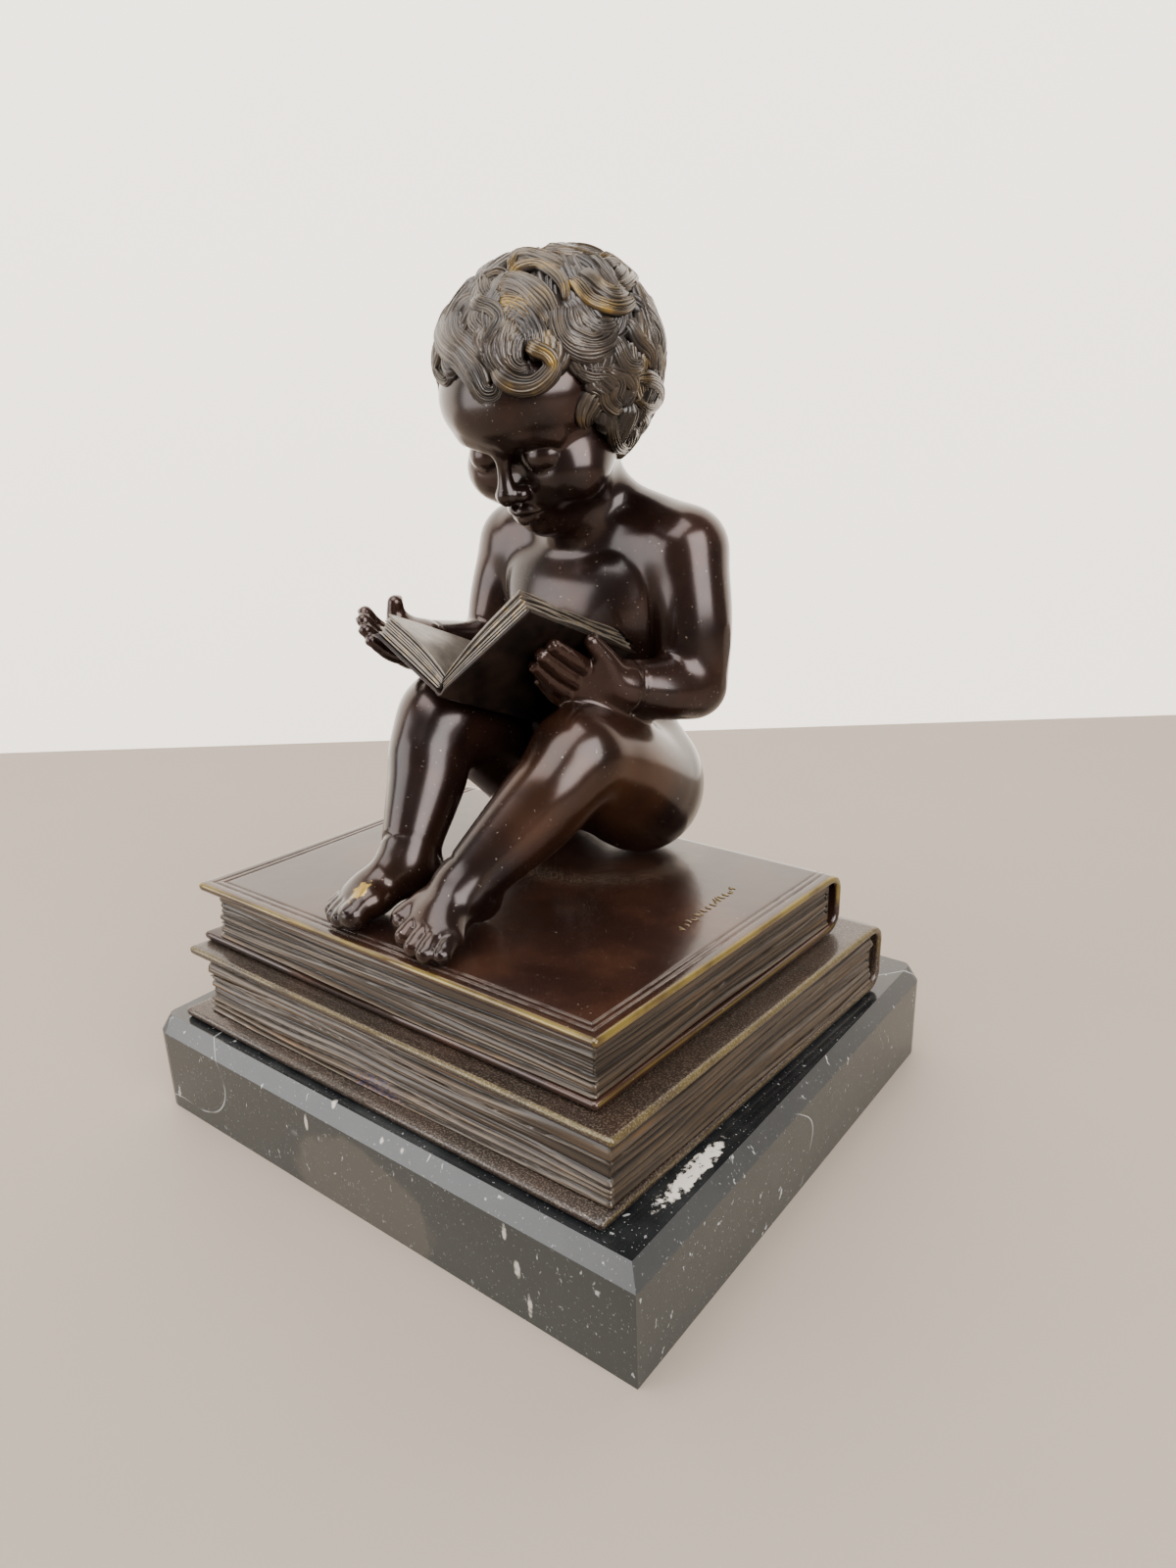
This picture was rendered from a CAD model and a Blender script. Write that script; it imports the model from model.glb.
import math
import random
import bmesh
import bpy
import numpy as np
from mathutils import Matrix, Vector


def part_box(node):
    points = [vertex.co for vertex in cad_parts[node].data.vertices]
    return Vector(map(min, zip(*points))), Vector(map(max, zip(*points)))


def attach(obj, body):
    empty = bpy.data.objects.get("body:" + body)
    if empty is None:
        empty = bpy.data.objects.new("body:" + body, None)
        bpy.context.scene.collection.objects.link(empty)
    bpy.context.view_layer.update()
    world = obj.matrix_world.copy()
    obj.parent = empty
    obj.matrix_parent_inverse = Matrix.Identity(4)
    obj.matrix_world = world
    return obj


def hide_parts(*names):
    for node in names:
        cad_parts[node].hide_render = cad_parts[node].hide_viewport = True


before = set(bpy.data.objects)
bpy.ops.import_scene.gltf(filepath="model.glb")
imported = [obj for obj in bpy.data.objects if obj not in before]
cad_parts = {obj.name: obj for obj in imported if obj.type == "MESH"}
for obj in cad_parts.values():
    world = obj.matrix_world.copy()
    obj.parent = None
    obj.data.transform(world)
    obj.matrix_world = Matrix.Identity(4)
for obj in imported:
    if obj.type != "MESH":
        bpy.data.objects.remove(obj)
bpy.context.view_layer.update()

mm = 0.001


# Shader maths: a socket that can be added, subtracted and multiplied

class Mask:
    def __init__(self, paint, socket):
        self.paint, self.socket = paint, socket

    def math(self, operation, *others, swap=False, clamp=False):
        values = [self, *others]
        if swap:
            values.reverse()
        return self.paint.node("ShaderNodeMath", {"operation": operation, "use_clamp": clamp},
                               dict(enumerate(values)))[0]

    def __add__(self, other):
        return self.math("ADD", other)

    def __sub__(self, other):
        return self.math("SUBTRACT", other)

    def __rsub__(self, other):
        return self.math("SUBTRACT", other, swap=True)

    def __mul__(self, other):
        return self.math("MULTIPLY", other)

    __radd__, __rmul__ = __add__, __mul__

    def band(self, low, high):           # 0 at low, 1 at high, soft between and level beyond
        return self.paint.node("ShaderNodeMapRange", {"interpolation_type": "SMOOTHSTEP"},
                               {"Value": self, "From Min": low, "From Max": high})[0]

    def limit(self):
        return self.math("ADD", 0.0, clamp=True)


looks = {
    "colour": "Base Color", "roughness": "Roughness", "metallic": "Metallic", "normal": "Normal",
    "coat": "Coat Weight", "coatRoughness": "Coat Roughness", "specular": "Specular IOR Level",
    "glow": "Emission Color", "glowStrength": "Emission Strength",
}


class Paint:
    def __init__(self, name, **values):
        self.material = bpy.data.materials.new(name)
        self.material.use_nodes = True
        self.tree = self.material.node_tree
        self.shade(**values)
        self.millimetres = self.vector("SCALE", {
            "Vector": self.node("ShaderNodeTexCoord")["Object"], "Scale": 1000.0})

    def shade(self, **values):           # what the shader's sockets get
        shader = self.tree.nodes["Principled BSDF"]
        self.feed(shader, {looks[key]: value for key, value in values.items()})
        return self.material

    def feed(self, made, inputs):
        for key, value in inputs.items():
            socket = made.inputs[key]
            if isinstance(value, Mask):
                self.tree.links.new(value.socket, socket)
            elif isinstance(value, (tuple, list)) and socket.type == "RGBA":
                socket.default_value = (*value[:3], 1.0)
            else:
                socket.default_value = value

    def node(self, kind, settings=None, inputs=None):
        made = self.tree.nodes.new(kind)
        for key, value in (settings or {}).items():
            setattr(made, key, value)
        self.feed(made, inputs or {})
        shown = [socket for socket in made.outputs if socket.enabled]
        return {key: Mask(self, socket) for index, socket in enumerate(shown) for key in (socket.name, index)}

    def vector(self, operation, inputs, output=0):
        return self.node("ShaderNodeVectorMath", {"operation": operation}, inputs)[output]

    def noise(self, scale, detail=3.0, stretch=(1, 1, 1), distortion=0.0):
        return self.node("ShaderNodeTexNoise", {}, {
            "Vector": self.vector("MULTIPLY", {0: self.millimetres, 1: Vector(stretch)}), "Scale": 1.0 / scale,
            "Detail": detail, "Roughness": 0.55, "Distortion": distortion})[0]

    def near(self, centre, reach, stretch=(1, 1, 1)):    # 1 at a place, in millimetres, falling to 0 at reach
        away = self.vector("SUBTRACT", {0: self.millimetres, 1: Vector(centre)})
        away = self.vector("MULTIPLY", {0: away, 1: Vector(stretch)})
        return self.vector("LENGTH", {0: away}, "Value").band(reach, 0)

    def layers(self, colour, *others):   # each (colour, mask) goes over the ones before
        for other, factor in others:
            colour = self.node("ShaderNodeMix", {"data_type": "RGBA", "clamp_factor": True},
                               {"Factor": factor, "A": colour, "B": other})["Result"]
        return colour

    def attribute(self, name):
        return self.node("ShaderNodeAttribute", {"attribute_name": name})["Fac"]

    def bump(self, height, distance, strength):
        self.shade(normal=self.node("ShaderNodeBump", {}, {
            "Height": height, "Distance": distance * mm, "Strength": strength})[0])


# Meshes from numpy points in millimetres

def meshFrom(name, points, faces, smooth=True):
    mesh = bpy.data.meshes.new(name)
    mesh.from_pydata((np.asarray(points, float) * mm).tolist(), [], [tuple(face) for face in faces])
    mesh.update()
    mesh.polygons.foreach_set("use_smooth", [smooth] * len(mesh.polygons))
    made = bpy.data.objects.new(name, mesh)
    bpy.context.scene.collection.objects.link(made)
    return made


def mask(made, name, values):            # a number at each point of a mesh, for its material
    layer = made.data.attributes.new(name, "FLOAT", "POINT")
    layer.data.foreach_set("value", np.asarray(values, np.float32))


def settle(made, node, material):
    made.data.materials.clear()
    made.data.materials.append(material)
    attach(made, "root")
    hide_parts(node)
    print(made.name, len(made.data.polygons), "faces")


def sweepFaces(rows, columns, first=0):  # a tube of rows, closed round, with a face over each end
    ring = np.arange(columns)
    sides = [np.stack((ring, (ring + 1) % columns, (ring + 1) % columns + columns, ring + columns), 1)
             + first + row * columns for row in range(rows - 1)]
    ends = [(ring[::-1] + first).tolist(), (ring + first + (rows - 1) * columns).tolist()]
    return np.vstack(sides).tolist() + ends


# Clay: shapes as distance fields on a grid, melted together and skinned with quads.
# A shape is its lowest corner, its highest corner and its distance at any place

def turned(axes, x, y, z):               # a place along each of three axes
    return [axis[0] * x + axis[1] * y + axis[2] * z for axis in axes]


def ball(centre, radii, axes=None):
    centre, radii = np.array(centre, float), np.array(radii, float) * np.ones(3)
    reach = radii.max()

    def distance(x, y, z):
        x, y, z = x - centre[0], y - centre[1], z - centre[2]
        if axes is not None:
            x, y, z = turned(axes, x, y, z)
        a, b, c = x / radii[0], y / radii[1], z / radii[2]
        near = np.sqrt(a * a + b * b + c * c)
        slope = np.sqrt((a / radii[0]) ** 2 + (b / radii[1]) ** 2 + (c / radii[2]) ** 2)
        return near * (near - 1) / np.maximum(slope, 1e-6)

    return centre - reach, centre + reach, distance


def bar(start, startRadius, end, endRadius):
    start, end = np.array(start, float), np.array(end, float)
    along = end - start
    length2 = float(along @ along) or 1e-9

    def distance(x, y, z):
        x, y, z = x - start[0], y - start[1], z - start[2]
        t = np.clip((x * along[0] + y * along[1] + z * along[2]) / length2, 0, 1)
        away = np.sqrt((x - t * along[0]) ** 2 + (y - t * along[1]) ** 2 + (z - t * along[2]) ** 2)
        return away - (startRadius + t * (endRadius - startRadius))

    wide = max(startRadius, endRadius)
    return np.minimum(start, end) - wide, np.maximum(start, end) + wide, distance


def smoothLine(points, steps):           # a smooth line through the points
    points = np.array(points, float)
    ends = np.vstack((2 * points[0] - points[1], points, 2 * points[-1] - points[-2]))
    t = (np.arange(steps) / steps)[:, None]
    line = []
    for before, here, after, last in zip(ends, ends[1:], ends[2:], ends[3:]):
        line.append(0.5 * (2 * here + (after - before) * t
                           + (2 * before - 5 * here + 4 * after - last) * t ** 2
                           + (3 * here - before - 3 * after + last) * t ** 3))
    return np.vstack((*line, points[-1]))


def tube(points, radii, steps=4):        # a round limb whose thickness changes smoothly
    line = smoothLine([(*point, radius) for point, radius in zip(points, radii)], steps)
    lows, highs, distances = zip(*(bar(a[:3], a[3], b[:3], b[3]) for a, b in zip(line, line[1:])))

    def distance(x, y, z):
        nearest = distances[0](x, y, z)
        for other in distances[1:]:
            np.minimum(nearest, other(x, y, z), out=nearest)
        return nearest

    return np.min(lows, axis=0), np.max(highs, axis=0), distance


cellCorners = list(np.ndindex(2, 2, 2))


def shifted(axis, layers=1):             # a grid without its first layers, and without its last, along an axis
    ahead, behind = [slice(None)] * 3, [slice(None)] * 3
    ahead[axis], behind[axis] = slice(layers, None), slice(None, -layers)
    return tuple(ahead), tuple(behind)


class Clay:
    far = 8.0

    def __init__(self, low, high, voxel):
        self.low, self.voxel = np.array(low, float), voxel
        counts = np.ceil((np.array(high, float) - self.low) / voxel).astype(int) + 1
        self.axes = [(self.low[i] + voxel * np.arange(counts[i])).astype(np.float32) for i in range(3)]
        self.field = np.full(counts, self.far, np.float32)

    def window(self, low, high, margin):
        cut = tuple(slice(int(np.searchsorted(axis, a)), int(np.searchsorted(axis, b)))
                    for axis, a, b in zip(self.axes, low - margin, high + margin))
        x, y, z = (axis[part] for axis, part in zip(self.axes, cut))
        return cut, (x[:, None, None], y[None, :, None], z[None, None, :])

    def add(self, shape, blend=0.0, sign=1):     # with a sign of -1 it adds to the air, which cuts the clay
        low, high, distance = shape
        part, place = self.window(low, high, max(blend, 1.0) + 2 * self.voxel)
        old = sign * self.field[part]
        if old.size:
            new = distance(*place).astype(np.float32)
            melt = np.maximum(blend - np.abs(old - new), 0) if blend else np.float32(0)
            self.field[part] = sign * (np.minimum(old, new) - melt * melt / (4 * blend or 1))

    def press(self, shape, depth, soft):  # push the skin in round a shape, or out when depth is negative
        low, high, distance = shape
        part, place = self.window(low, high, soft + self.voxel)
        if self.field[part].size:
            near = np.clip(1 - np.maximum(distance(*place), 0) / soft, 0, 1)
            self.field[part] += (depth * near * near * (3 - 2 * near)).astype(np.float32)

    def soften(self, reach):             # rounds off everything sculpted so far
        cells = max(1, round(reach / self.voxel))
        wide = 2 * cells + 1
        for axis in (0, 0, 1, 1, 2, 2):
            margin = [(0, 0)] * 3
            margin[axis] = (cells + 1, cells)
            total = np.cumsum(np.pad(self.field, margin, mode="edge"), axis=axis, dtype=np.float64)
            ahead, behind = shifted(axis, wide)
            self.field = ((total[ahead] - total[behind]) / wide).astype(np.float32)

    def skin(self):                      # one point in each cell that the skin crosses, one quad on each edge
        field = self.field
        for side in (0, -1):
            field[side] = field[:, side] = field[:, :, side] = self.far
        inside = field < 0
        size = [n - 1 for n in field.shape]
        count = sum(inside[i:size[0] + i, j:size[1] + j, k:size[2] + k].astype(np.uint8)
                    for i, j, k in cellCorners)
        cells = np.argwhere((count > 0) & (count < 8))
        value = np.stack([field[tuple((cells + corner).T)] for corner in cellCorners], 1)
        total, weight = np.zeros((len(cells), 3)), np.zeros(len(cells))
        for first, a in enumerate(cellCorners):
            for second, b in enumerate(cellCorners[first + 1:], first + 1):
                if sum(abs(p - q) for p, q in zip(a, b)) == 1:
                    va, vb = value[:, first], value[:, second]
                    crosses = (va < 0) != (vb < 0)
                    t = np.where(crosses, va / np.where(crosses, va - vb, 1), 0)[:, None]
                    total += np.where(crosses[:, None], np.array(a) + t * (np.array(b) - np.array(a)), 0)
                    weight += crosses
        points = (cells + total / weight[:, None]) * self.voxel + self.low
        number = np.full(size, -1, np.int32)
        number[tuple(cells.T)] = np.arange(len(cells))
        quads = []
        for axis in range(3):
            ahead, behind = shifted(axis)
            start = inside[behind]
            edges = np.argwhere(start != inside[ahead])
            ring = []
            for du, dv in ((-1, -1), (0, -1), (0, 0), (-1, 0)):
                cell = edges + np.roll((0, du, dv), axis)
                ring.append(number[tuple(cell.T)])
            ring = np.stack(ring, 1)
            back = ~start[tuple(edges.T)]
            ring[back] = ring[back][:, ::-1]
            quads.append(ring)
        return points, np.vstack(quads)

    def sample(self, points):            # the field at any points, read between the grid's own
        place = np.clip((points - self.low) / self.voxel, 0, np.array(self.field.shape) - 1.001)
        base = place.astype(int)
        part = place - base
        return sum(np.where(corner, part, 1 - part).prod(1) * self.field[tuple((base + corner).T)]
                   for corner in cellCorners)

    def slope(self, points):
        steps = np.eye(3) * self.voxel
        slope = np.stack([self.sample(points + step) - self.sample(points - step) for step in steps], 1)
        return slope / np.maximum(np.linalg.norm(slope, axis=1), 1e-9)[:, None]


def relax(points, quads, rounds=2):      # evens out the steps of the grid without shrinking the form
    a = quads.ravel()
    b = np.roll(quads, -1, axis=1).ravel()
    count = np.bincount(a, minlength=len(points)) + np.bincount(b, minlength=len(points))
    for factor in [0.5, -0.52] * rounds:
        mean = np.stack([(np.bincount(a, points[b, axis], len(points))
                          + np.bincount(b, points[a, axis], len(points))) / count for axis in range(3)], 1)
        points = points + factor * (mean - points)
    return points


def cast(name, clay, triangles, plane):
    points, quads = clay.skin()
    made = meshFrom(name, relax(points, quads), quads)
    if 2 * len(quads) > triangles:
        thin = made.modifiers.new("thin", "DECIMATE")
        thin.ratio = triangles / (2 * len(quads))
        graph = bpy.context.evaluated_depsgraph_get()
        made.data = bpy.data.meshes.new_from_object(made.evaluated_get(graph))
        made.modifiers.clear()
    bm = bmesh.new()
    bm.from_mesh(made.data)
    point, normal, (low, high) = plane   # what lies on the normal's side goes to the neighbouring piece
    faces = [face for face in bm.faces if all(a <= c / mm <= b for a, c, b in zip(low, face.verts[0].co, high))]
    edges = {edge for face in faces for edge in face.edges}
    verts = {vert for face in faces for vert in face.verts}
    bmesh.ops.bisect_plane(bm, geom=[*verts, *edges, *faces], dist=1e-7,
                           plane_co=Vector(point) * mm, plane_no=Vector(normal), clear_outer=True)
    bm.to_mesh(made.data)
    bm.free()
    points = np.empty(len(made.data.vertices) * 3, np.float32)
    made.data.vertices.foreach_get("co", points)
    points = points.reshape(-1, 3).astype(float) / mm
    for _ in range(2):                   # back onto the sculpted form
        points = points - clay.sample(points)[:, None] * clay.slope(points)
    made.data.vertices.foreach_set("co", (points * mm).astype(np.float32).ravel())
    made.data.update()
    made.data.normals_split_custom_set_from_vertices(clay.slope(points).tolist())
    print(name, "sculpted with", len(quads), "quads")
    return made


# The child. Points are drawn in millimetres above the middle of the seat, and the head's in its own axes

child = {
    "drawnTall": 165.3,                  # the pose is drawn for a child this tall above the seat
    "headCentre": (-0.8, 14.0, 132.6), "headPitch": math.radians(30),
    "crown": math.radians(26),           # the hair's crown lies this far behind the top of the skull
    "bodyVoxel": 0.5, "headVoxel": 0.4, "bodyTriangles": 195000, "headTriangles": 150000,
    "neckSeam": (0.0, 28.0, 99.0), "softness": 1.4, "margin": 1.5, "clearance": 0.25,
    "fingerRadii": (2.35, 2.4, 2.3, 2.05), "toeRadii": (4.0, 2.9, 2.7, 2.6, 2.4),
    "lumps": (                           # centre and radii of the trunk
        ((0, 28, 22), (27, 20, 19)), ((0, 25, 41), (25, 19, 21)), ((0, 34, 52), (23, 14, 27)),
        ((0, 28, 67), (25.5, 17, 23)), ((0, 35, 78), (26, 13, 17))),
    "skull": (((0, -3.2, 1.2), (25.6, 27, 26)), ((0, 8, -12), (20.5, 15.5, 15)),
              ((0, 10, -20), (15, 14, 11.5)), ((0, 19, -20.5), (10, 9.5, 9))),
    "limbs": (                           # thighs, shins, upper arms and forearms: knees up and apart
        (((18, 24, 21), (21.5, 6, 33), (22.5, -8, 40)), (18.5, 15.2, 13)),
        (((22.3, -9, 39), (21.3, -16, 34), (17.2, -23, 26.5), (8.9, -40.8, 11.6)), (12.2, 11.8, 11.3, 7.4)),
        (((-18, 24, 21), (-19.5, 3, 36), (-19, -16, 46)), (18.5, 14.4, 12.2)),
        (((-19, -16.4, 45), (-18.6, -22, 39), (-17, -26, 31), (-13.2, -39, 13.2)), (11.5, 11.3, 10.7, 7.4)),
        (((30.2, 31, 88), (34, 28.6, 70), (35.4, 27, 53)), (11.2, 10.6, 9)),
        (((34.8, 25.4, 52.6), (33, 17, 53.5), (28.5, 7, 56)), (8.2, 8.4, 6.9)),
        (((-30.5, 32, 87), (-34.5, 28.5, 70), (-36.5, 26, 54.5)), (11.4, 10.6, 9.2)),
        (((-36.3, 24.4, 54.8), (-36.5, 10, 58.5), (-34.5, -6, 63.5)), (8.4, 8.5, 6.7))),
    "folds": (                           # centre, run, radius and depth of the folds at wrists and ankles
        ((28.2, 6.6, 56.1), (-0.32, -0.93, 0.19), 7.0, 0.55), ((-34.6, -5.0, 63.2), (0.07, -0.95, 0.3), 6.7, 0.5),
        ((11.6, -40.0, 14.6), (-0.35, -0.72, -0.6), 7.9, 0.5), ((-12.6, -37.6, 16.6), (0.25, -0.7, -0.66), 7.9, 0.5)),
    "hands": ({
        "wrist": (27, 4.5, 56.5), "palm": (18, -8, 66),
        "knuckles": ((22.3, -3.8, 61.8), (20.4, -5, 58.4), (18.8, -5, 55), (17.2, -3.4, 51.9)),
        "tips": ((21.7, -16.3, 70.1), (19.2, -17.9, 67.8), (16.6, -17.3, 64.6), (14.8, -13.8, 60.2)),
        "thumb": ((27.4, 1.5, 58.6), (27, -2.1, 64.6), (25.5, -5.5, 69.4)),
    }, {
        "wrist": (-34.2, -8, 63.8), "palm": (-26, -20, 72),
        "knuckles": ((-35.5, -17.5, 66.8), (-33.2, -18.5, 65), (-30.6, -18.5, 63.2), (-28, -17.8, 61.6)),
        "tips": ((-38.6, -23.2, 74.4), (-37.2, -25.2, 72.8), (-35, -26.6, 70.6), (-32.6, -27, 68)),
        "thumb": ((-37.5, -9, 66), (-39.5, -11, 71), (-39.2, -11.6, 75.4)),
    }),
    "feet": ({
        "heel": (8.5, -35.5, 6.4), "ankle": (8.8, -41, 10.2), "ball": (9.4, -48.5, 6.6),
        "toes": (((2.6, -48.4, 7.2), (0.9, -53.6, 5.6)), ((6, -52.6, 6.2), (4.7, -57.6, 3.6)),
                 ((10.2, -54.4, 5.8), (10, -59.9, 3.2)), ((13.8, -54.6, 5.2), (14.6, -60.4, 2.9)),
                 ((16.8, -52.8, 4.4), (18.2, -58.4, 2.7))),
    }, {
        "heel": (-12.3, -33.5, 6.4), "ankle": (-14, -39, 10.8), "ball": (-17.2, -48.5, 6.2),
        "toes": (((-13.2, -52.6, 6.2), (-13.6, -58.2, 4.5)), ((-17, -54, 5.4), (-17, -59.6, 3.2)),
                 ((-20, -53, 4.9), (-20.2, -58.6, 3)), ((-22.8, -51.4, 4.4), (-23.4, -56.6, 2.8)),
                 ((-25, -49, 4), (-26.2, -53.6, 2.6))),
    }),
}
childLow, childHigh = (np.array(corner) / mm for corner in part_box("seated_child"))
seat = childLow[2]
share = (childHigh[2] - seat) / child["drawnTall"]
cosPitch, sinPitch = math.cos(child["headPitch"]), math.sin(child["headPitch"])
headAxes = np.array(((1, 0, 0), (0, -cosPitch, -sinPitch), (0, -sinPitch, cosPitch)))   # right, forward, up


def at(x, y, z):
    return np.array((x * share, y * share, seat + z * share))


def headAt(right, forward, up):
    return at(*child["headCentre"]) + share * (np.array((right, forward, up)) @ headAxes)


def unit(vector):
    return np.array(vector, float) / np.linalg.norm(vector)


def headBall(centre, radii):
    return ball(headAt(*centre), share * np.array(radii), headAxes)


def limb(points, radii, steps=4):
    return tube([at(*point) for point in points], share * np.array(radii), steps)


def ring(centre, normal, radius, thick):
    centre, normal = np.array(centre, float), unit(normal)

    def distance(x, y, z):
        x, y, z = x - centre[0], y - centre[1], z - centre[2]
        up = x * normal[0] + y * normal[1] + z * normal[2]
        out = np.sqrt(np.maximum(x * x + y * y + z * z - up * up, 0)) - radius
        return np.sqrt(out * out + up * up) - thick

    reach = radius + thick
    return centre - reach, centre + reach, distance


def block(centre, axes, half):           # a box on its own axes
    centre, half, axes = np.array(centre, float), np.array(half, float), np.array(axes, float)
    reach = np.abs(axes * half[:, None]).sum(0)

    def distance(x, y, z):
        places = turned(axes, x - centre[0], y - centre[1], z - centre[2])
        sides = [np.abs(place) - h for place, h in zip(places, half)]
        return np.maximum(np.maximum(sides[0], sides[1]), sides[2])

    return centre - reach, centre + reach, distance


def without(shape, other):
    return shape[0], shape[1], lambda x, y, z: np.maximum(shape[2](x, y, z), -other[2](x, y, z))


def sculptBody(clay):
    def lump(centre, radii, blend=6):
        clay.add(ball(at(*centre), share * np.array(radii)), blend)

    def strut(start, startRadius, end, endRadius):
        clay.add(bar(at(*start), startRadius * share, at(*end), endRadius * share), 5)

    for centre, radii in child["lumps"]:
        lump(centre, radii)
    strut((-24, 32, 86), 11.5, (24, 32, 86), 11.5)           # shoulders and neck
    strut((0, 31, 92), 13, (0, 21.5, 108), 13.5)
    for side in (-1, 1):
        lump((side * 16, 29.5, 20), (17.2, 19.2, 20.2))      # seat, breast and slope of the shoulder
        lump((side * 11, 20.5, 76), (11, 5, 9), 9)
        strut((side * 7, 31, 98), 9, (side * 29, 32, 89), 11)
    for centre, radii in child["skull"]:
        clay.add(headBall(centre, radii), 3)
    for points, radii in child["limbs"]:
        clay.add(limb(points, radii, 6), 3.5)


def nail(clay, tip, along, out, radius):
    axes = np.array((np.cross(along, out), along, out))
    centre = at(*(np.array(tip) + along * radius * 0.1 + out * radius * 0.78))
    plate = ball(centre, share * radius * np.array((0.62, 0.78, 0.3)), axes)
    clay.press(plate, 0.16, 0.5)
    clay.add(plate, 0.12)


def outward(point, inner, along):        # across a finger, away from the palm
    away = np.array(point, float) - np.array(inner, float)
    return unit(away - along * (away @ along))


def sculptPalm(clay, hand):
    for knuckle, radius in zip(hand["knuckles"], child["fingerRadii"]):
        clay.add(bar(at(*hand["wrist"]), 5.6 * share, at(*knuckle), (radius + 1.0) * share), 2.5)
    clay.add(limb(hand["thumb"][:2], (4.4, 3.0)), 2.5)


def sculptFingers(clay, hand):
    for knuckle, tip, radius in zip(hand["knuckles"], hand["tips"], child["fingerRadii"]):
        knuckle, tip = np.array(knuckle, float), np.array(tip, float)
        middle = (knuckle + tip) / 2
        bulge = middle + 0.12 * (middle - np.array(hand["palm"]))
        clay.add(limb((knuckle, bulge, tip), (1.12 * radius, radius, 0.84 * radius), 6), 0.45)
        along = unit(tip - bulge)
        nail(clay, tip, along, outward(tip, hand["palm"], along), radius * 0.8)
        for spot in (knuckle * 0.55 + bulge * 0.45, bulge * 0.55 + tip * 0.45):
            clay.press(ring(at(*spot), along, radius * share, 0.1), 0.1, 0.6)
    clay.add(limb(hand["thumb"], (4.0, 2.9, 2.2), 6), 1.2)
    end = hand["thumb"][2]
    along = unit(np.subtract(end, hand["thumb"][1]))
    nail(clay, end, along, outward(end, hand["tips"][0], along), 2.2)


def sculptSole(clay, foot):
    heel, ankle, pad = at(*foot["heel"]), at(*foot["ankle"]), at(*foot["ball"])
    clay.add(bar(heel, 6.8 * share, ankle, 7.0 * share), 3.5)
    clay.add(bar(ankle, 7.0 * share, pad, 5.6 * share), 3.5)
    for (root, _), radius in zip(foot["toes"], child["toeRadii"]):
        clay.add(bar(pad, 5.4 * share, at(*root), (radius + 0.9) * share), 2.5)


def sculptToes(clay, foot):
    for (root, tip), radius in zip(foot["toes"], child["toeRadii"]):
        root, tip = np.array(root, float), np.array(tip, float)
        middle = (root + tip) / 2 + (0, 0, 0.5)
        clay.add(limb((root, middle, tip), (radius, 0.92 * radius, 0.98 * radius), 5), 0.5)
        along = unit(tip - root)
        nail(clay, tip, along, unit(np.array((0, 0, 1)) - along * along[2]), radius * 0.85)


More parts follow.
